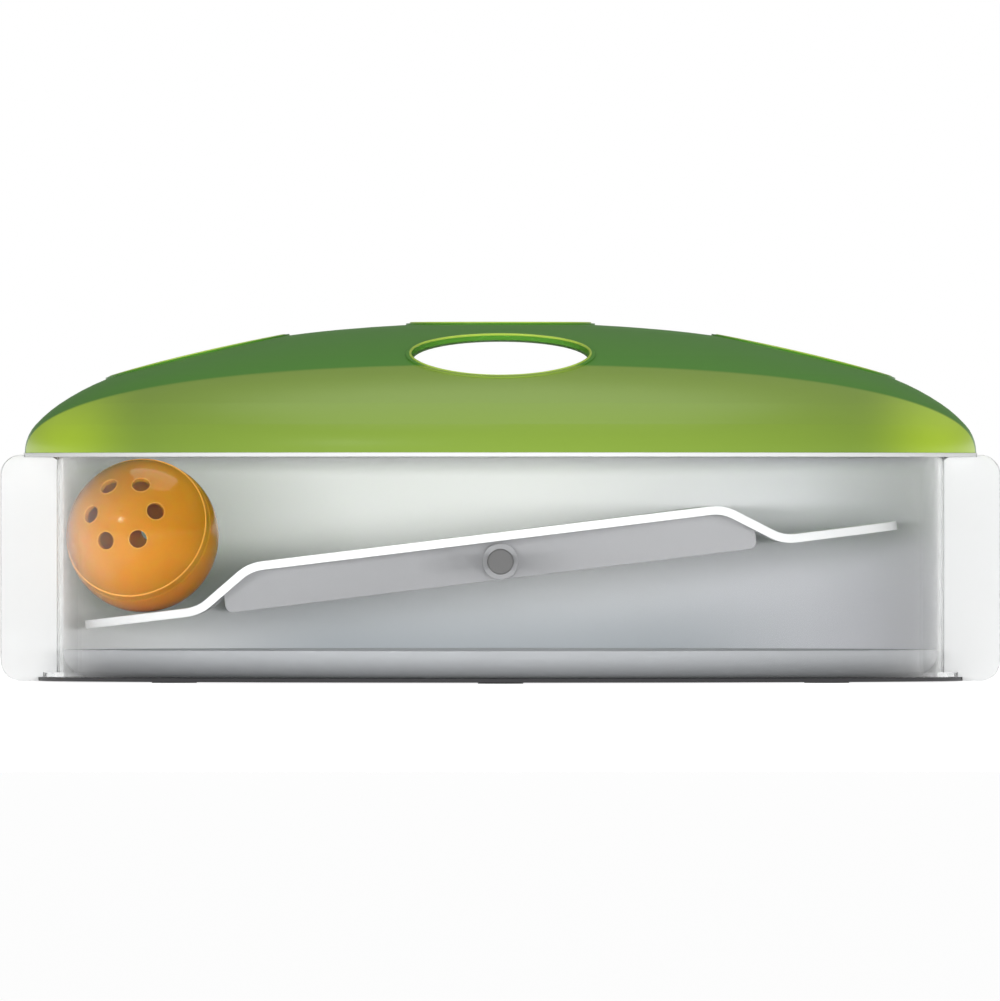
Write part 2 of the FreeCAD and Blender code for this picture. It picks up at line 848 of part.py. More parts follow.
def ball_cap():
    """Front part of the ball, with a ring of kibble holes and the bayonet's grooves."""
    low = ball_seam_height + ball_seam_gap
    outer = ball_radius
    inner = ball_radius - ball_wall
    bevel = ball_seam_bevel
    outline = face([
        line(sphere_point(inner, low), low, sphere_point(outer, low) - bevel, low),
        line(sphere_point(outer, low) - bevel, low, sphere_point(outer, low + bevel), low + bevel),
        sphere_arc(outer, low + bevel, outer),
        line(0, outer, 0, inner),
        sphere_arc(inner, inner, low),
    ])
    cap = turned(outline)
    for cutter in kibble_holes(1) + lug_blocks(groove_clearance, ball_twist) + lug_entries():
        cap = cap.cut(cutter)
    return to_ball(cap)


def ball_cup():
    """Rear part of the ball, with a ring of kibble holes and a neck that goes into the cap."""
    seam = ball_seam_height
    outer = ball_radius
    inner = ball_radius - ball_wall
    neck = inner - neck_clearance
    bore = neck - neck_wall
    low = seam - neck_depth
    bevel = ball_seam_bevel
    outline = face([
        line(0, -inner, 0, -outer),
        sphere_arc(outer, -outer, seam - bevel),
        line(sphere_point(outer, seam - bevel), seam - bevel, sphere_point(outer, seam) - bevel, seam),
        line(sphere_point(outer, seam) - bevel, seam, sphere_point(neck, seam), seam),
        sphere_arc(neck, seam, neck_height),
        line(sphere_point(neck, neck_height), neck_height, sphere_point(bore, neck_height), neck_height),
        sphere_arc(bore, neck_height, low),
        line(sphere_point(bore, low), low, sphere_point(inner, low), low),
        sphere_arc(inner, low, -inner),
    ])
    cup = fused([turned(outline)] + lug_blocks(0.0, 0.0))
    for cutter in kibble_holes(-1):
        cup = cup.cut(cutter)
    return to_ball(cup)


def build():
    """Every piece of the feeder by its name."""
    return {
        "rear_wall_outer": rear_wall_outer(),
        "rear_wall_inner": rear_wall_inner(),
        "end_cap_left": end_cap(-1),
        "end_cap_right": end_cap(1),
        "base_plate": base_plate(),
        "rubber_feet": group(foot_solids()),
        "base_screws": base_screws(),
        "floor_bowl": floor_bowl(),
        "front_window": front_window(),
        "rim_ring": rim_ring(),
        "dome_lid": dome_lid(),
        "rocker_tray": rocker_tray(),
        "rail_front": rail(-1),
        "rail_rear": rail(1),
        "rail_screws": rail_screws(),
        "bush_front": bush(-1),
        "bush_rear": bush(1),
        "axle": axle(),
        "axle_cap": axle_cap(),
        "tilt_stop": tilt_stop(),
        "stop_pin": pin_solid(),
        "stop_pads": stop_pads(),
        "ball_cap": ball_cap(),
        "ball_cup": ball_cup(),
    }


os.makedirs("parts", exist_ok=True)
for name, shape in build().items():
    shape.exportStep(os.path.join("parts", name + ".step"))
    print(name, "solids", len(shape.Solids), "valid", shape.isValid(), "volume", round(shape.Volume, 1))
middle = ball_centre()
print("ball centre", round(middle.x, 3), round(middle.y, 3), round(middle.z, 3))
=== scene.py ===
import json
import math

import bpy
import numpy as np
from bpy.props import FloatProperty, FloatVectorProperty, IntProperty, PointerProperty
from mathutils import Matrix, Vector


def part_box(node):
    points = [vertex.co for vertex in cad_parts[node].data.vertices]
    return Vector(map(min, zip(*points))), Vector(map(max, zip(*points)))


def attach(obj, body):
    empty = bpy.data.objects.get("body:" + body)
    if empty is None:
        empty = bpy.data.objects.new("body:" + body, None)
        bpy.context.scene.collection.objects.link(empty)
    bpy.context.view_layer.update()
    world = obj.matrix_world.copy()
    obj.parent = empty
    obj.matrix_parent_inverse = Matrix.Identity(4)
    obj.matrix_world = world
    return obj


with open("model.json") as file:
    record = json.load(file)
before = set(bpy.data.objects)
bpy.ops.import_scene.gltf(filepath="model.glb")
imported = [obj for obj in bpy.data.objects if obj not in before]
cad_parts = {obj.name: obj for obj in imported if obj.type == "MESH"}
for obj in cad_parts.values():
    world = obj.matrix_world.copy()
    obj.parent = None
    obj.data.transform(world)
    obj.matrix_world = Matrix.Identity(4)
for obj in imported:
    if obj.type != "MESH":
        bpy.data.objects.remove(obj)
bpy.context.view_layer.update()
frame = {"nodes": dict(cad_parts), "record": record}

# Looks of the cat puzzle feeder: a round tub with a clear front, a domed lid with
# paw holes, a rocking tray and a translucent treat ball. +X points right, +Y to the
# rear wall, +Z up, and all lengths are in metres unless a name says millimetres.

bl_info = {
    "name": "Cat puzzle feeder",
    "version": (1, 0, 0),
    "blender": (4, 5, 0),
    "location": "3D View > Sidebar > Feeder",
    "description": "Finishes, small mouldings and the studio of a cat puzzle feeder",
    "category": "Object",
}

MM = 0.001
rim_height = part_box("dome_lid")[0].z


def srgb(code):
    """Linear red, green and blue of a hex colour such as "#5A8043"."""
    parts = [int(code[i:i + 2], 16) / 255.0 for i in (1, 3, 5)]
    return tuple(c / 12.92 if c <= 0.04045 else ((c + 0.055) / 1.055) ** 2.4 for c in parts)


def colour(name, description, code):
    """A colour setting whose default is a hex colour."""
    return FloatVectorProperty(
        name=name, description=description, default=srgb(code), subtype="COLOR", min=0.0, max=1.0
    )


def length(name, description, metres):
    """A length setting, in metres."""
    return FloatProperty(name=name, description=description, default=metres, unit="LENGTH")


def angle(name, description, degrees):
    """An angle setting, given in degrees."""
    return FloatProperty(name=name, description=description, default=math.radians(degrees), subtype="ANGLE")


class FeederFinish(bpy.types.PropertyGroup):
    """Colours of the feeder's materials, and where the two-coloured ones change."""

    dome_dark: colour("Dome band", "Dark green band over the top of the dome", "#52922B")
    dome_light: colour("Dome sides", "Light green of the dome's front and rear", "#8AA842")
    # Painted light: the dome's ends are painted yellow-green where light shines through them.
    dome_painted_glow: colour("Dome edge", "Yellow-green where the band runs out at the rim", "#CCEF3A")
    # Painted highlight: the lips' yellow-green is lighter than the dome's, for their thin bright lines.
    hole_lip_highlight: colour("Hole lips", "Yellow-green of the paw holes' rounded lips", "#B4D24E")
    shell: colour("Shell", "White of the outer wall, end caps and ring", "#F2F3F3")
    inner_light: colour("Inner wall, light", "Inner wall at its upper left", "#FFFFFF")
    # Painted shade: the inner wall's pale grey to the right and cool grey at its foot stand in for shade.
    inner_right_shade: colour("Inner wall, grey", "Inner wall at its right", "#FAFAFF")
    inner_foot_shade: colour("Inner wall, foot", "Inner wall at the foot of its middle", "#BCC2C7")
    floor_grey: colour("Floor bowl", "Grey of the bowl that lines the floor", "#AFB1B4")
    base: colour("Base plate", "Near black of the base plate", "#3C3C3E")
    feet: colour("Feet", "Black of the rubber feet", "#232324")
    tray: colour("Tray", "White of the rocking tray", "#F8F9F9")
    # The rails' grey is also painted shade, for the shade under the tray's overhang.
    rail: colour("Rails", "Light grey of the rails and the stop block", "#A8A8AA")
    pivot: colour("Pivot", "Dark grey of the axle's cap and the bushes", "#727272")
    pads: colour("Stop pads", "Black of the soft pads on the stop block", "#262627")
    zinc: colour("Zinc", "Cool grey of the plated axle, pin and screws", "#C4C6C8")
    ball: colour("Ball", "Orange of the translucent treat ball", "#FFA41A")
    # Painted glow: the ball's edge beads are a paler orange, as if lit from within.
    ball_edge_glow: colour("Ball edges", "Thin edges of the ball, which light up from within", "#FFB444")
    band_half_width: length("Band half width", "Distance from the middle of the band's tips", 0.1896)
    band_rise: length("Band rise", "Height over the rim of the dark band's edge at the middle", 0.0348)
    band_power: FloatProperty(
        name="Band power", description="Power of the superellipse of the band's edge; 2 is an ellipse",
        default=2.3,
    )
    band_blur: length("Band blur", "Width over which one green turns into the other", 0.001)
    # Where the painted light at the dome's ends begins and where it is full.
    glow_start: length("Edge green starts", "Distance from the middle where the green yellows", 0.135)
    glow_full: length("Edge green full", "Distance from the middle where the yellow-green is full", 0.19)
    # Where the inner wall's painted shade reaches, to the right and down to its foot.
    right_shade_full: length("Wall grey full", "Distance to the right where the wall's grey is full", 0.15)
    foot_top: length("Foot starts", "Height where the wall starts to darken to its foot", 0.06)
    foot_full: length("Foot full", "Height where the foot's grey is full", 0.005)
    foot_end: length("Foot ends", "Distance from the middle past which the foot isn't darker", 0.165)
    foot_flat: length("Foot's middle", "Distance from the middle within which the foot is darkest", 0.06)


class FeederTrim(bpy.types.PropertyGroup):
    """Sizes of the small mouldings on the dome and the ball."""

    dome_rise: length("Dome rise", "Height of the dome's pole over its rim", 0.0522)
    hole_radius: length("Paw hole radius", "Radius of the five paw holes", 0.0356)
    hole_circle: length("Paw hole circle", "Distance of the outer paw holes from the tub's axis", 0.1215)
    lip_height: length("Lip height", "Height of a paw hole's lip over the dome", 0.0006)
    lip_bead: length("Lip bead", "Radius of the round bead on each lip", 0.0005)
    ball_radius: length("Ball radius", "Outer radius of the treat ball", 0.0305)
    ball_tip: angle("Ball tip", "Lean of the ball's pole up from level", 19.9)
    ball_turn: angle("Ball turn", "Turn of the ball's pole to the left", 16.5)
    ring_height: length("Grip ring height", "Distance of the grip ring from the ball's middle", 0.0096)
    ring_bead: length("Grip ring bead", "Radius of the cap's grip ring", 0.0004)
    kibble_radius: length("Kibble hole radius", "Radius of the ball's kibble holes", 0.0035)
    kibble_lean: angle("Kibble hole lean", "Angle of the kibble holes from the ball's pole", 26.0)
    kibble_phase: angle("Kibble hole phase", "Angle of the first kibble hole round the pole", 3.0)
    kibble_bead: length("Kibble hole bead", "Radius of the bead round each kibble hole", 0.0002)
    kibble_count: IntProperty(
        name="Kibble holes", description="Number of kibble holes round each pole", default=6, min=1,
    )


class FeederStage(bpy.types.PropertyGroup):
    """Camera, sky and floor."""

    frame_width: length("Frame width", "Width that the picture shows at the wall's ends", 0.4)
    lens: FloatProperty(
        name="Lens", description="Focal length in millimetres, long enough to look nearly parallel",
        default=1500.0, subtype="DISTANCE_CAMERA",
    )
    eye_height: length("Eye height", "Height of the camera above the floor", 0.0726)
    eye_side: length("Eye side", "Shift of the camera along X", -0.0002)
    sky: FloatProperty(
        name="Sky", description="Strength of the even light from all round", default=0.16, min=0.0,
    )
    backdrop_full: FloatProperty(
        name="Backdrop full", description="Sine of the height up to which the seen backdrop is pure white",
        default=0.04, min=0.0, max=1.0,
    )
    backdrop_end: FloatProperty(
        name="Backdrop end", description="Sine of the height at which the seen backdrop ends", default=0.12,
        min=0.0, max=1.0,
    )
    floor_half: length("Floor half width", "Half the width of the square floor", 30.0)
    floor_glow: FloatProperty(
        name="Floor glow", description="Light the eye sees on top of the floor's own, to make it white",
        default=0.85, min=0.0,
    )


def add(tree, kind, props=None, values=None, links=None):
    """A new node with its properties, its inputs' values and links from other nodes' outputs."""
    node = tree.nodes.new(kind)
    for key, value in (props or {}).items():
        setattr(node, key, value)
    for key, value in (values or {}).items():
        node.inputs[key].default_value = value
    for key, output in (links or {}).items():
        tree.links.new(output, node.inputs[key])
    return node


def new_material(name, **values):
    """A material with one Principled shader whose sockets have the given values."""
    material = bpy.data.materials.new(name)
    material.use_nodes = True
    tree = material.node_tree
    tree.nodes.clear()
    shader = add(tree, "ShaderNodeBsdfPrincipled")
    add(tree, "ShaderNodeOutputMaterial", links={"Surface": shader.outputs["BSDF"]})
    for key, value in values.items():
        shader.inputs[key.replace("_", " ")].default_value = value
    return material, tree, shader


def rgba(value):
    """A colour with full alpha."""
    return (*value[:3], 1.0)


def grain_bump(tree, shader, grain_mm, height_mm, edge_mm):
    """Moulded plastic's skin: a fine grain of a size and height, and edges that catch light as if rounded.

    A real mould's grain is about 0.1 mm; it is drawn coarser, so that it shows at the picture's scale.
    """
    place = add(tree, "ShaderNodeTexCoord")
    grain = add(
        tree, "ShaderNodeTexNoise",
        values={"Scale": 1.0 / (grain_mm * MM), "Detail": 2.0, "Roughness": 0.5},
        links={"Vector": place.outputs["Object"]},
    )
    edge = add(tree, "ShaderNodeBevel", props={"samples": 6}, values={"Radius": edge_mm * MM})
    bump = add(
        tree, "ShaderNodeBump",
        values={"Strength": 1.0, "Distance": height_mm * MM},
        links={"Height": grain.outputs["Fac"], "Normal": edge.outputs["Normal"]},
    )
    tree.links.new(bump.outputs["Normal"], shader.inputs["Normal"])
    return place, grain


def mottle(tree, shader, place, base, spread, size_mm):
    """Uneven colour: the base colour drifts by a small share over a distance."""
    drift = add(
        tree, "ShaderNodeTexNoise",
        values={"Scale": 1.0 / (size_mm * MM), "Detail": 3.0},
        links={"Vector": place.outputs["Object"]},
    )
    darker = tuple(c * (1.0 - spread) for c in base[:3])
    mix = add(
        tree, "ShaderNodeMix", props={"data_type": "RGBA"},
        values={"A": rgba(darker), "B": rgba(base)},
        links={"Factor": drift.outputs["Fac"]},
    )
    tree.links.new(mix.outputs["Result"], shader.inputs["Base Color"])


def plastic(name, base, roughness, grain_mm=0.5, height_mm=0.01, spread=0.04, **values):
    """Injection-moulded plastic: a fine even grain, soft edges and a slow drift of its colour."""
    material, tree, shader = new_material(name, Roughness=roughness, **values)
    place, _ = grain_bump(tree, shader, grain_mm, height_mm, edge_mm=0.5)
    mottle(tree, shader, place, base, spread, size_mm=60.0)
    return material


def dress(node, material):
    """Gives a CAD node its finish."""
    thing = frame["nodes"][node]
    for slot in thing.material_slots:
        slot.material = material


def bead_mesh(name, paths, outwards, radius):
    """One mesh of thin round beads, each along a closed path.

    Point (i, j) of a bead is path[i] + radius * (cos(a) * outward[i] + sin(a) * side[i]), where a goes
    round the bead in equal steps, and side is square to the path and to its outward direction.
    """
    sides = 10
    turn = np.linspace(0.0, 2 * math.pi, sides, endpoint=False)
    points = []
    faces = []
    for path, outward in zip(paths, outwards):
        along = np.roll(path, -1, axis=0) - np.roll(path, 1, axis=0)
        side = np.cross(along, outward)
        side /= np.linalg.norm(side, axis=1)[:, None]
        skin = (path[:, None] + radius * (np.cos(turn)[None, :, None] * outward[:, None]
                                          + np.sin(turn)[None, :, None] * side[:, None]))
        count = len(path)
        i, j = np.meshgrid(np.arange(count), np.arange(sides), indexing="ij")
        next_i = (i + 1) % count
        next_j = (j + 1) % sides
        quads = np.stack([i * sides + j, i * sides + next_j,
                          next_i * sides + next_j, next_i * sides + j], axis=-1)
        faces.append(quads.reshape(-1, 4) + sum(len(p) for p in points))
        points.append(skin.reshape(-1, 3))
    mesh = bpy.data.meshes.new(name)
    mesh.from_pydata(np.concatenate(points).tolist(), [], np.concatenate(faces).tolist())
    mesh.polygons.foreach_set("use_smooth", np.ones(len(mesh.polygons), bool))
    mesh.update()
    return mesh


def add_piece(name, mesh, material, body):
    """A new piece of the object with its finish, which moves with a body."""
    mesh.materials.append(material)
    thing = bpy.data.objects.new(name, mesh)
    bpy.context.scene.collection.objects.link(thing)
    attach(thing, body)


def turned_about(points, axis, turn):
    """Points turned about the origin's X or Z axis by an angle."""
    c, s = math.cos(turn), math.sin(turn)
    matrix = {"X": [[1, 0, 0], [0, c, -s], [0, s, c]], "Z": [[c, -s, 0], [s, c, 0], [0, 0, 1]]}[axis]
    return points @ np.array(matrix).T


def paw_hole_lips(trim):
    """Paths round the five paw holes on the dome's raised lips, and the way out of the dome at each point.

    A path is the curve where a cylinder about the hole's axis meets the ellipsoid
    (x^2 + y^2) / half width^2 + z^2 / rise^2 = 1, found along the axis as the root of a quadratic.
    """
    low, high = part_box("dome_lid")
    wide = (high.x - low.x) / 2
    across = wide + trim.lip_height
    tall = trim.dome_rise + trim.lip_height
    radius = trim.hole_radius + trim.lip_bead / 2
    steps = 120
    t = np.linspace(0.0, 2 * math.pi, steps, endpoint=False)
    paths = []
    outwards = []
    holes = [(0.0, 0.0)] + [(k * math.pi / 2, trim.hole_circle) for k in range(4)]
    for turn, circle in holes:
        height = trim.dome_rise * math.sqrt(1 - (circle / wide) ** 2)
        lean = math.atan2(circle / wide ** 2, height / trim.dome_rise ** 2)
        way = np.array([math.sin(lean), 0.0, math.cos(lean)])
        flat = np.array([math.cos(lean), 0.0, -math.sin(lean)])
        start = (np.array([circle, 0.0, height]) + radius * np.cos(t)[:, None] * flat
                 + radius * np.sin(t)[:, None] * np.array([0.0, 1.0, 0.0]))
        weight = np.array([1 / across ** 2, 1 / across ** 2, 1 / tall ** 2])
        a = (way * way * weight).sum()
        b = (start * way * weight).sum(axis=1)
        c = (start * start * weight).sum(axis=1) - 1
        path = start + ((np.sqrt(b * b - a * c) - b) / a)[:, None] * way
        paths.append(turned_about(path, "Z", turn) + np.array([0.0, 0.0, low.z]))
        outwards.append(np.tile(turned_about(way, "Z", turn), (steps, 1)))
    return paths, outwards


def ball_circles(trim, ways, lean):
    """Circles on the ball, each about a direction from its pole's frame, with the ball's outward direction.

    A circle's point is middle + radius * (cos(lean) * way + sin(lean) * (cos(t) * u + sin(t) * v)).
    """
    twist = next(j for j in frame["record"]["behaviour"]["joints"] if j["name"] == "ball_twist")
    # A small circle gets fewer steps than the largest, but still looks round.
    most_steps, least_steps, steps_power = 480, 24, 0.7
    steps = max(least_steps, int(most_steps * math.sin(lean) ** steps_power))
    t = np.linspace(0.0, 2 * math.pi, steps, endpoint=False)
    # Any direction does here that none of the ways runs along.
    aside = [0.3, 0.9, 0.1]
    paths = []
    outwards = []
    for way in ways:
        u = np.cross(way, aside)
        u /= np.linalg.norm(u)
        v = np.cross(way, u)
        out = (math.cos(lean) * way
               + math.sin(lean) * (np.cos(t)[:, None] * u + np.sin(t)[:, None] * v))
        out = turned_about(turned_about(out, "X", math.pi / 2 - trim.ball_tip), "Z", -trim.ball_turn)
        paths.append(np.array(twist["pos_m"]) + trim.ball_radius * out)
        outwards.append(out)
    return paths, outwards


def kibble_ways(trim, pole):
    """Directions of the kibble holes in the ball's own frame, round its upper (1) or lower (-1) pole."""
    t = trim.kibble_phase + np.arange(trim.kibble_count) * 2 * math.pi / trim.kibble_count
    ways = np.stack([math.sin(trim.kibble_lean) * np.cos(t), math.sin(trim.kibble_lean) * np.sin(t),
                     np.full(len(t), math.cos(trim.kibble_lean))], axis=1)
    return ways * np.array([1.0, pole, pole])


def dome_green(look):
    """Glossy green ABS, darker in a band over the top, with painted light at its ends.

    A darker band crosses the top from side to side and narrows to nothing at the rim, so the
    front and rear are light. Its edge stands at a height over the rim that follows a
    superellipse of the distance from the middle: (x / half width) ^ n + (height / rise) ^ n = 1.
    Towards the left and right ends the light green turns yellow-green: painted light, standing in for
    light that shines through the dome's thin ends.
    """
    material, tree, shader = new_material(
        "banded_green_abs_painted_glow", Roughness=0.34, Specular_IOR_Level=0.3
    )
    place, _ = grain_bump(tree, shader, grain_mm=0.8, height_mm=0.006, edge_mm=0.5)
    spot = add(tree, "ShaderNodeSeparateXYZ", links={"Vector": place.outputs["Object"]})
    side = add(tree, "ShaderNodeMath", props={"operation": "ABSOLUTE"}, links={0: spot.outputs["X"]})
    share = add(tree, "ShaderNodeMath", props={"operation": "DIVIDE"},
                values={1: look.band_half_width}, links={0: side.outputs["Value"]})
    bent = add(tree, "ShaderNodeMath", props={"operation": "POWER"},
               values={1: look.band_power}, links={0: share.outputs["Value"]})
    rest = add(tree, "ShaderNodeMath", props={"operation": "SUBTRACT", "use_clamp": True},
               values={0: 1.0}, links={1: bent.outputs["Value"]})
    height = add(tree, "ShaderNodeMath", props={"operation": "POWER"},
                 values={1: 1.0 / look.band_power}, links={0: rest.outputs["Value"]})
    line = add(tree, "ShaderNodeMath", props={"operation": "MULTIPLY_ADD"},
               values={1: look.band_rise, 2: rim_height}, links={0: height.outputs["Value"]})
    over = add(tree, "ShaderNodeMath", props={"operation": "SUBTRACT"},
               links={0: spot.outputs["Z"], 1: line.outputs["Value"]})
    band = add(tree, "ShaderNodeMapRange", props={"interpolation_type": "SMOOTHSTEP"},
               values={"From Min": -look.band_blur / 2, "From Max": look.band_blur / 2},
               links={"Value": over.outputs["Value"]})
    # Painted light: the light green turns yellow-green towards the dome's ends.
    painted_glow_mask = add(tree, "ShaderNodeMapRange", props={"interpolation_type": "SMOOTHERSTEP"},
                    values={"From Min": look.glow_start, "From Max": look.glow_full},
                    links={"Value": side.outputs["Value"]})
    light = add(tree, "ShaderNodeMix", props={"data_type": "RGBA"},
                values={"A": rgba(look.dome_light), "B": rgba(look.dome_painted_glow)},
                links={"Factor": painted_glow_mask.outputs["Result"]})
    both = add(tree, "ShaderNodeMix", props={"data_type": "RGBA"},
               values={"B": rgba(look.dome_dark)},
               links={"Factor": band.outputs["Result"], "A": light.outputs["Result"]})
    tree.links.new(both.outputs["Result"], shader.inputs["Base Color"])
    return material


def inner_wall_painted_shade(look):
    """Satin white polypropylene with painted shade graduated over the wall.

    It is white at the left, a pale grey to the right and a cool grey at the foot of its middle: painted
    shade, where less light reaches the wall to the right and down near the floor.
    """
    material, tree, shader = new_material("satin_wall_painted_shade", Roughness=0.5, Specular_IOR_Level=0.25)
    place, _ = grain_bump(tree, shader, grain_mm=0.6, height_mm=0.01, edge_mm=0.4)
    spot = add(tree, "ShaderNodeSeparateXYZ", links={"Vector": place.outputs["Object"]})
    across = add(tree, "ShaderNodeMapRange", props={"interpolation_type": "SMOOTHSTEP"},
                 values={"From Min": 0.0, "From Max": look.right_shade_full}, links={"Value": spot.outputs["X"]})
    sides = add(tree, "ShaderNodeMix", props={"data_type": "RGBA"},
                values={"A": rgba(look.inner_light), "B": rgba(look.inner_right_shade)},
                links={"Factor": across.outputs["Result"]})
    down = add(tree, "ShaderNodeMapRange", props={"interpolation_type": "SMOOTHSTEP"},
               values={"From Min": look.foot_top, "From Max": look.foot_full},
               links={"Value": spot.outputs["Z"]})
    side = add(tree, "ShaderNodeMath", props={"operation": "ABSOLUTE"}, links={0: spot.outputs["X"]})
    middle = add(tree, "ShaderNodeMapRange", props={"interpolation_type": "SMOOTHSTEP"},
                 values={"From Min": look.foot_end, "From Max": look.foot_flat},
                 links={"Value": side.outputs["Value"]})
    foot = add(tree, "ShaderNodeMath", props={"operation": "MULTIPLY"},
               links={0: down.outputs["Result"], 1: middle.outputs["Result"]})
    # Painted shade, darkest at the foot of the wall's middle.
    mix = add(tree, "ShaderNodeMix", props={"data_type": "RGBA"},
              values={"B": rgba(look.inner_foot_shade)},
              links={"Factor": foot.outputs["Value"], "A": sides.outputs["Result"]})
    tree.links.new(mix.outputs["Result"], shader.inputs["Base Color"])
    return material


def clear_window_plastic():
    """Clear moulded polystyrene with a coat that quiets its gloss.

    Face on it is nearly unseen, and at a slant it mirrors the room softly. Rays towards the lamps pass it
    straight, so that it throws no dark shadow. Its tints are shares of red, green and blue light, and
    finer than a hex colour's steps.
    """
    body_tint = (0.995, 0.998, 0.998, 1.0)
    gloss_tint = (0.3, 0.3, 0.3, 1.0)
    shadow_tint = (0.99, 0.995, 0.995, 1.0)
    material, tree, shader = new_material(
        "clear_polystyrene", Base_Color=body_tint, Roughness=0.02, IOR=1.2,
        Specular_Tint=gloss_tint, Transmission_Weight=1.0,
    )
    path = add(tree, "ShaderNodeLightPath")
    clear = add(tree, "ShaderNodeBsdfTransparent", values={"Color": shadow_tint})
    both = add(tree, "ShaderNodeMixShader", links={
        0: path.outputs["Is Shadow Ray"], 1: shader.outputs["BSDF"], 2: clear.outputs["BSDF"],
    })
    out = next(n for n in tree.nodes if n.type == "OUTPUT_MATERIAL")
    tree.links.new(both.outputs["Shader"], out.inputs["Surface"])
    return material


def ball_orange(look):
    """Translucent orange polycarbonate: light passes and colours as it goes, and the skin is glossy."""
    material, tree, shader = new_material(
        "translucent_orange_polycarbonate",
        Roughness=0.07, IOR=1.45, Transmission_Weight=0.22, Specular_IOR_Level=0.3,
        Subsurface_Weight=0.9, Subsurface_Scale=0.004, Subsurface_Radius=(1.0, 0.4, 0.1),
    )
    place, _ = grain_bump(tree, shader, grain_mm=1.5, height_mm=0.01, edge_mm=0.3)
    mottle(tree, shader, place, look.ball, spread=0.08, size_mm=12.0)
    return material


def zinc_steel(look):
    """Zinc plated steel: drawn or rolled, with a fine unevenness that spreads its gloss."""
    material, tree, shader = new_material("zinc_plated_steel", Metallic=1.0, Roughness=0.3)
    place, grain = grain_bump(tree, shader, grain_mm=0.3, height_mm=0.004, edge_mm=0.15)
    rough = add(tree, "ShaderNodeMapRange", values={"To Min": 0.22, "To Max": 0.42},
                links={"Value": grain.outputs["Fac"]})
    tree.links.new(rough.outputs["Result"], shader.inputs["Roughness"])
    mottle(tree, shader, place, look.zinc, spread=0.08, size_mm=2.0)
    return material


class FEEDER_OT_shell(bpy.types.Operator):
    """Finish the outer wall, end caps, ring and inner wall"""

    bl_idname = "feeder.shell"
    bl_label = "Walls and ring"

    def execute(self, context):
        look = context.scene.feeder_finish
        # Moulded in a polished tool, so it is glossy and its white hardly drifts.
        white = plastic("white_gloss_abs", look.shell, roughness=0.28, spread=0.015, Specular_IOR_Level=0.4)
        for node in ("rear_wall_outer", "end_cap_left", "end_cap_right", "rim_ring"):
            dress(node, white)
        # The inner wall is white, with painted shade to its right and at its foot.
        dress("rear_wall_inner", inner_wall_painted_shade(look))
        return {"FINISHED"}


class FEEDER_OT_base(bpy.types.Operator):
    """Finish the base plate, feet, screws and floor bowl"""

    bl_idname = "feeder.base"
    bl_label = "Base and floor"

    def execute(self, context):
        look = context.scene.feeder_finish
        # A spark-eroded mould leaves the plate with a coarse matt grain that hides scratches.
        plate = plastic("spark_textured_abs", look.base, roughness=0.6, grain_mm=0.9, height_mm=0.04)
        dress("base_plate", plate)
        # Pressed rubber: dull and nearly black.
        rubber = plastic("moulded_rubber", look.feet, roughness=0.75, grain_mm=0.4, height_mm=0.02)
        dress("rubber_feet", rubber)
        # Waxy polypropylene that is wiped clean often: satin, with soft highlights.
        dress("floor_bowl", plastic("satin_grey_polypropylene", look.floor_grey, roughness=0.5))
        dress("base_screws", zinc_steel(look))
        return {"FINISHED"}


class FEEDER_OT_window(bpy.types.Operator):
    """Finish the clear front window"""

    bl_idname = "feeder.window"
    bl_label = "Front window"

    def execute(self, context):
        dress("front_window", clear_window_plastic())
        return {"FINISHED"}


class FEEDER_OT_dome(bpy.types.Operator):
    """Finish the domed lid"""

    bl_idname = "feeder.dome"
    bl_label = "Domed lid"

    def execute(self, context):
        look = context.scene.feeder_finish
        trim = context.scene.feeder_trim
        dress("dome_lid", dome_green(look))
        # The lips take more light than the dome, and their yellow-green is also lighter than the dome's
        # green, a painted highlight, so they read as thin bright lines.
        lips = bead_mesh("paw_hole_lips", *paw_hole_lips(trim), trim.lip_bead)
        add_piece("paw_hole_lips", lips, plastic("lip_green_abs_painted_highlight", look.hole_lip_highlight, roughness=0.3), "lid")
        return {"FINISHED"}


class FEEDER_OT_tray(bpy.types.Operator):
    """Finish the rocking tray, its rails, their screws and the bushes"""

    bl_idname = "feeder.tray"
    bl_label = "Rocking tray"

    def execute(self, context):
        look = context.scene.feeder_finish
        # Moulded in a smooth tool, so that the ball rolls freely: white and softly glossy.
        dress("rocker_tray", plastic("white_tray_abs", look.tray, roughness=0.3, spread=0.015))
        # Moulded nylon, stiff and satin. Its grey is the rails' own, and on the rails it is also painted
        # shade, standing in for the shade under the tray's overhang.
        rail = plastic("satin_grey_nylon", look.rail, roughness=0.5)
        dress("rail_front", rail)
        dress("rail_rear", rail)
        dress("tilt_stop", rail)
        dress("rail_screws", zinc_steel(look))
        # Moulded acetal, which wears well: a slippery skin with a soft sheen.
        pivot = plastic("dark_grey_acetal", look.pivot, roughness=0.45)
        for node in ("bush_front", "bush_rear", "axle_cap"):
            dress(node, pivot)
        steel = zinc_steel(look)
        dress("axle", steel)
        dress("stop_pin", steel)
        # Pressed rubber, soft to the tray's knock: dull.
        pads = plastic("soft_rubber", look.pads, roughness=0.8, grain_mm=0.4, height_mm=0.02)
        dress("stop_pads", pads)
        return {"FINISHED"}


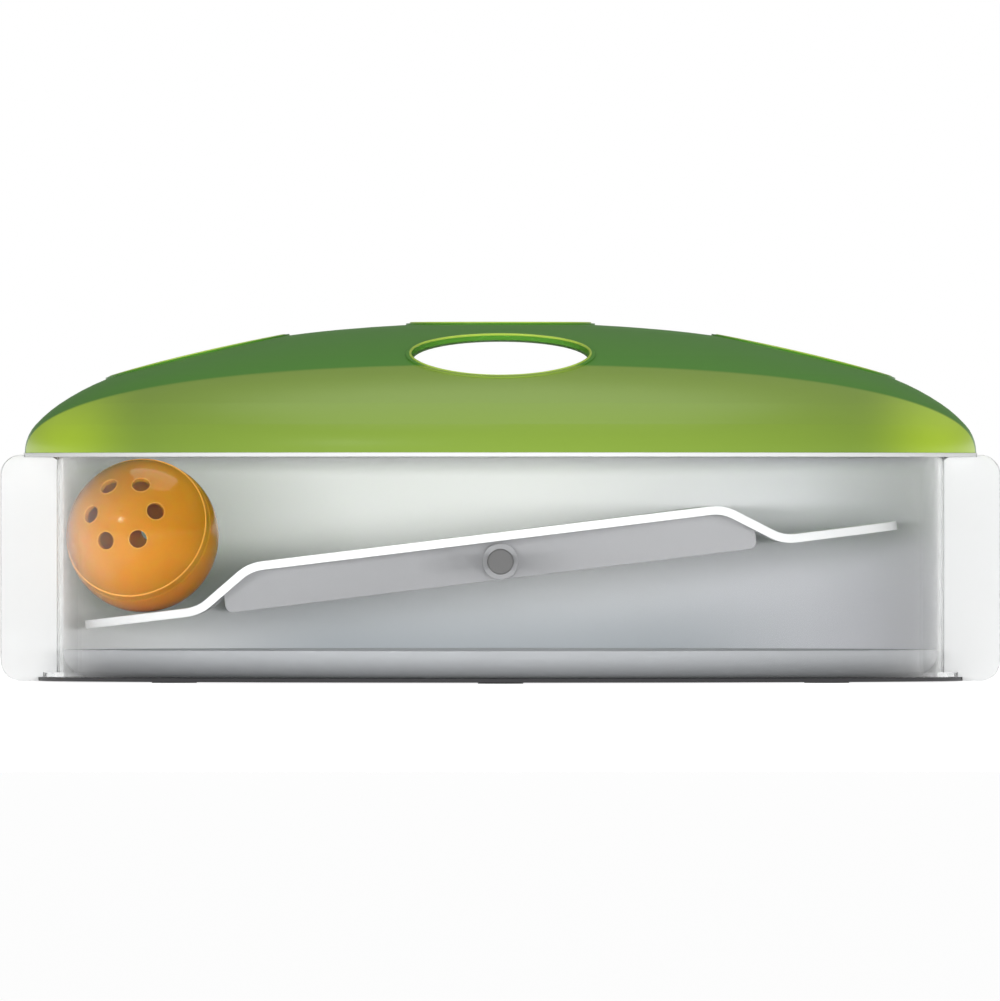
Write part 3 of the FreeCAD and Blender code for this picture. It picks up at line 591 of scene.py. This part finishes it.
class FEEDER_OT_ball(bpy.types.Operator):
    """Finish the treat ball"""

    bl_idname = "feeder.ball"
    bl_label = "Treat ball"

    def execute(self, context):
        look = context.scene.feeder_finish
        trim = context.scene.feeder_trim
        orange = ball_orange(look)
        dress("ball_cap", orange)
        dress("ball_cup", orange)
        # The beads on the ball's thin edges are painted a paler orange than the faces: a painted glow,
        # standing in for the light that thin edges of clear plastic gather.
        edge = plastic("orange_edge_painted_glow", look.ball_edge_glow, roughness=0.15, grain_mm=1.5, spread=0.03)
        pole = np.array([[0.0, 0.0, 1.0]])
        lean = math.acos(trim.ring_height / trim.ball_radius)
        ring = bead_mesh("grip_ring", *ball_circles(trim, pole, lean), trim.ring_bead)
        add_piece("grip_ring", ring, edge, "ball_front")
        lean = math.asin((trim.kibble_radius + trim.kibble_bead) / trim.ball_radius)
        for name, side, body in (("cap_hole_lips", 1, "ball_front"), ("cup_hole_lips", -1, "ball")):
            lips = bead_mesh(name, *ball_circles(trim, kibble_ways(trim, side), lean), trim.kibble_bead)
            add_piece(name, lips, edge, body)
        return {"FINISHED"}


WHITE = rgba(srgb("#FFFFFF"))

# Each lamp's name, place, the point it is turned to, its width, height and power in watts, and whether glossy
# and clear surfaces may mirror it.
LAMPS = (
    # Long and low, far in front: it lights the face and the inner wall evenly.
    ("front_lamp", (0.1, -5.5, 0.1), (0, 0, 0.07), 4.2, 0.2, 222.0, False),
    # Two at the sides, which lift the wall's ends behind the window.
    ("left_lamp", (-2.3, -0.75, 0.08), (0.1, 0, 0.07), 0.8, 0.12, 1.0, False),
    ("right_lamp", (2.3, -0.75, 0.08), (-0.1, 0, 0.07), 0.8, 0.12, 5.0, False),
    # A strip and a small square, which draw the highlights on the dome and the ball.
    ("key_lamp", (-1.0, -1.6, 0.95), (0, 0, 0.08), 1.8, 0.2, 1.8, True),
    ("spark_lamp", (-1.28, -1.66, 0.98), (-0.14, 0, 0.06), 0.3, 0.3, 3.0, True),
    # From above and behind: the dome's top, and a light edge on the shell.
    ("top_lamp", (0.0, 0.2, 1.8), (0, 0, 0.05), 1.8, 1.8, 13.0, True),
    ("back_lamp", (0.8, 2.2, 1.0), (0, 0, 0.05), 1.6, 1.0, 20.0, False),
)


def lamp(name, place, aim, width, height, power, mirrored):
    """A soft lamp of a width and height at a place, turned to a point."""
    data = bpy.data.lights.new(name, "AREA")
    data.shape = "RECTANGLE"
    data.size = width
    data.size_y = height
    data.energy = power
    thing = bpy.data.objects.new(name, data)
    bpy.context.scene.collection.objects.link(thing)
    thing.location = place
    way = np.array(aim, float) - np.array(place, float)
    flat = math.hypot(way[0], way[1])
    thing.rotation_euler = (math.atan2(flat, -way[2]), 0.0, math.atan2(-way[0], way[1]))
    thing.visible_glossy = mirrored
    thing.visible_transmission = mirrored


def seen_white(tree):
    """1 for rays from the camera, through clear plastic or off a glossy surface, else 0."""
    path = add(tree, "ShaderNodeLightPath")
    direct = add(tree, "ShaderNodeMath", props={"operation": "MAXIMUM"},
                 links={0: path.outputs["Is Camera Ray"], 1: path.outputs["Is Transmission Ray"]})
    return add(tree, "ShaderNodeMath", props={"operation": "MAXIMUM"},
               links={0: direct.outputs["Value"], 1: path.outputs["Is Glossy Ray"]})


def studio_sky(scene, stage):
    """Even light from all round, and a white backdrop near the horizon that lights nothing itself."""
    world = bpy.data.worlds.new("studio_sky")
    scene.world = world
    world.use_nodes = True
    tree = world.node_tree
    tree.nodes.clear()
    shown = seen_white(tree)
    way = add(tree, "ShaderNodeTexCoord")
    up = add(tree, "ShaderNodeSeparateXYZ", links={"Vector": way.outputs["Generated"]})
    low = add(tree, "ShaderNodeMapRange", props={"interpolation_type": "SMOOTHSTEP"},
              values={"From Min": stage.backdrop_end, "From Max": stage.backdrop_full},
              links={"Value": up.outputs["Z"]})
    backdrop = add(tree, "ShaderNodeMath", props={"operation": "MULTIPLY"},
                   links={0: low.outputs["Result"], 1: shown.outputs["Value"]})
    strength = add(tree, "ShaderNodeMapRange", values={"To Min": stage.sky, "To Max": 1.0},
                   links={"Value": backdrop.outputs["Value"]})
    sky = add(tree, "ShaderNodeBackground", values={"Color": WHITE},
              links={"Strength": strength.outputs["Result"]})
    add(tree, "ShaderNodeOutputWorld", links={"Surface": sky.outputs["Background"]})


def white_paper(stage):
    """White paper that keeps the object's shadow and looks white to the eye.

    It gives back a plain 0.8 of the light that falls on it. From below it can be looked through, so that
    the feet and the base plate show.
    """
    paper_grey = (0.8, 0.8, 0.8, 1.0)
    paint = bpy.data.materials.new("white_paper")
    paint.use_nodes = True
    tree = paint.node_tree
    tree.nodes.clear()
    diffuse = add(tree, "ShaderNodeBsdfDiffuse", values={"Color": paper_grey})
    shown = seen_white(tree)
    strength = add(tree, "ShaderNodeMath", props={"operation": "MULTIPLY"},
                   values={1: stage.floor_glow}, links={0: shown.outputs["Value"]})
    glow = add(tree, "ShaderNodeEmission", values={"Color": WHITE},
               links={"Strength": strength.outputs["Value"]})
    both = add(tree, "ShaderNodeAddShader", links={0: diffuse.outputs["BSDF"], 1: glow.outputs["Emission"]})
    side = add(tree, "ShaderNodeNewGeometry")
    clear = add(tree, "ShaderNodeBsdfTransparent")
    sheet = add(tree, "ShaderNodeMixShader", links={
        0: side.outputs["Backfacing"], 1: both.outputs["Shader"], 2: clear.outputs["BSDF"],
    })
    add(tree, "ShaderNodeOutputMaterial", links={"Surface": sheet.outputs["Shader"]})
    return paint


def studio_floor(scene, stage):
    """A wide square floor at the height the feet stand on."""
    half = stage.floor_half
    corners = [(-half, -half, 0), (half, -half, 0), (half, half, 0), (-half, half, 0)]
    mesh = bpy.data.meshes.new("studio_floor")
    mesh.from_pydata(corners, [], [(0, 1, 2, 3)])
    floor = bpy.data.objects.new("studio_floor", mesh)
    scene.collection.objects.link(floor)
    mesh.materials.append(white_paper(stage))


def photo_camera(scene, stage):
    """A camera on the level, so far off that its long lens draws nearly parallel."""
    data = bpy.data.cameras.new("photo_camera")
    data.lens = stage.lens
    data.sensor_width = 36.0
    camera = bpy.data.objects.new("photo_camera", data)
    scene.collection.objects.link(camera)
    wall_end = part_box("end_cap_left")[0].y
    distance = stage.frame_width * stage.lens / data.sensor_width
    camera.location = (stage.eye_side, wall_end - distance, stage.eye_height)
    camera.rotation_euler = (math.pi / 2, 0.0, 0.0)
    scene.camera = camera


class FEEDER_OT_stage(bpy.types.Operator):
    """Set the white floor, the even sky, soft lamps and the camera"""

    bl_idname = "feeder.stage"
    bl_label = "Studio and camera"

    def execute(self, context):
        scene = context.scene
        stage = scene.feeder_stage
        studio_sky(scene, stage)
        studio_floor(scene, stage)
        for settings in LAMPS:
            lamp(*settings)
        photo_camera(scene, stage)
        scene.view_settings.view_transform = "Standard"
        return {"FINISHED"}


class FEEDER_PT_panel(bpy.types.Panel):
    """The feeder's settings and steps"""

    bl_idname = "FEEDER_PT_panel"
    bl_label = "Cat puzzle feeder"
    bl_space_type = "VIEW_3D"
    bl_region_type = "UI"
    bl_category = "Feeder"

    def draw(self, context):
        layout = self.layout
        for group in (context.scene.feeder_finish, context.scene.feeder_trim, context.scene.feeder_stage):
            for key in group.__annotations__:
                layout.prop(group, key)
        for step in STEPS:
            layout.operator(step.bl_idname)


STEPS = (
    FEEDER_OT_stage,
    FEEDER_OT_shell,
    FEEDER_OT_base,
    FEEDER_OT_window,
    FEEDER_OT_dome,
    FEEDER_OT_tray,
    FEEDER_OT_ball,
)
CLASSES = (FeederFinish, FeederTrim, FeederStage, *STEPS, FEEDER_PT_panel)


def register():
    """Adds the classes and their settings."""
    for kind in CLASSES:
        bpy.utils.register_class(kind)
    bpy.types.Scene.feeder_finish = PointerProperty(type=FeederFinish)
    bpy.types.Scene.feeder_trim = PointerProperty(type=FeederTrim)
    bpy.types.Scene.feeder_stage = PointerProperty(type=FeederStage)


def unregister():
    """Takes the classes and their settings away."""
    del bpy.types.Scene.feeder_stage
    del bpy.types.Scene.feeder_trim
    del bpy.types.Scene.feeder_finish
    for kind in reversed(CLASSES):
        bpy.utils.unregister_class(kind)


def main():
    """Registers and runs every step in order."""
    register()
    for step in STEPS:
        group, name = step.bl_idname.split(".")
        getattr(getattr(bpy.ops, group), name)()


if __name__ == "__main__":
    main()
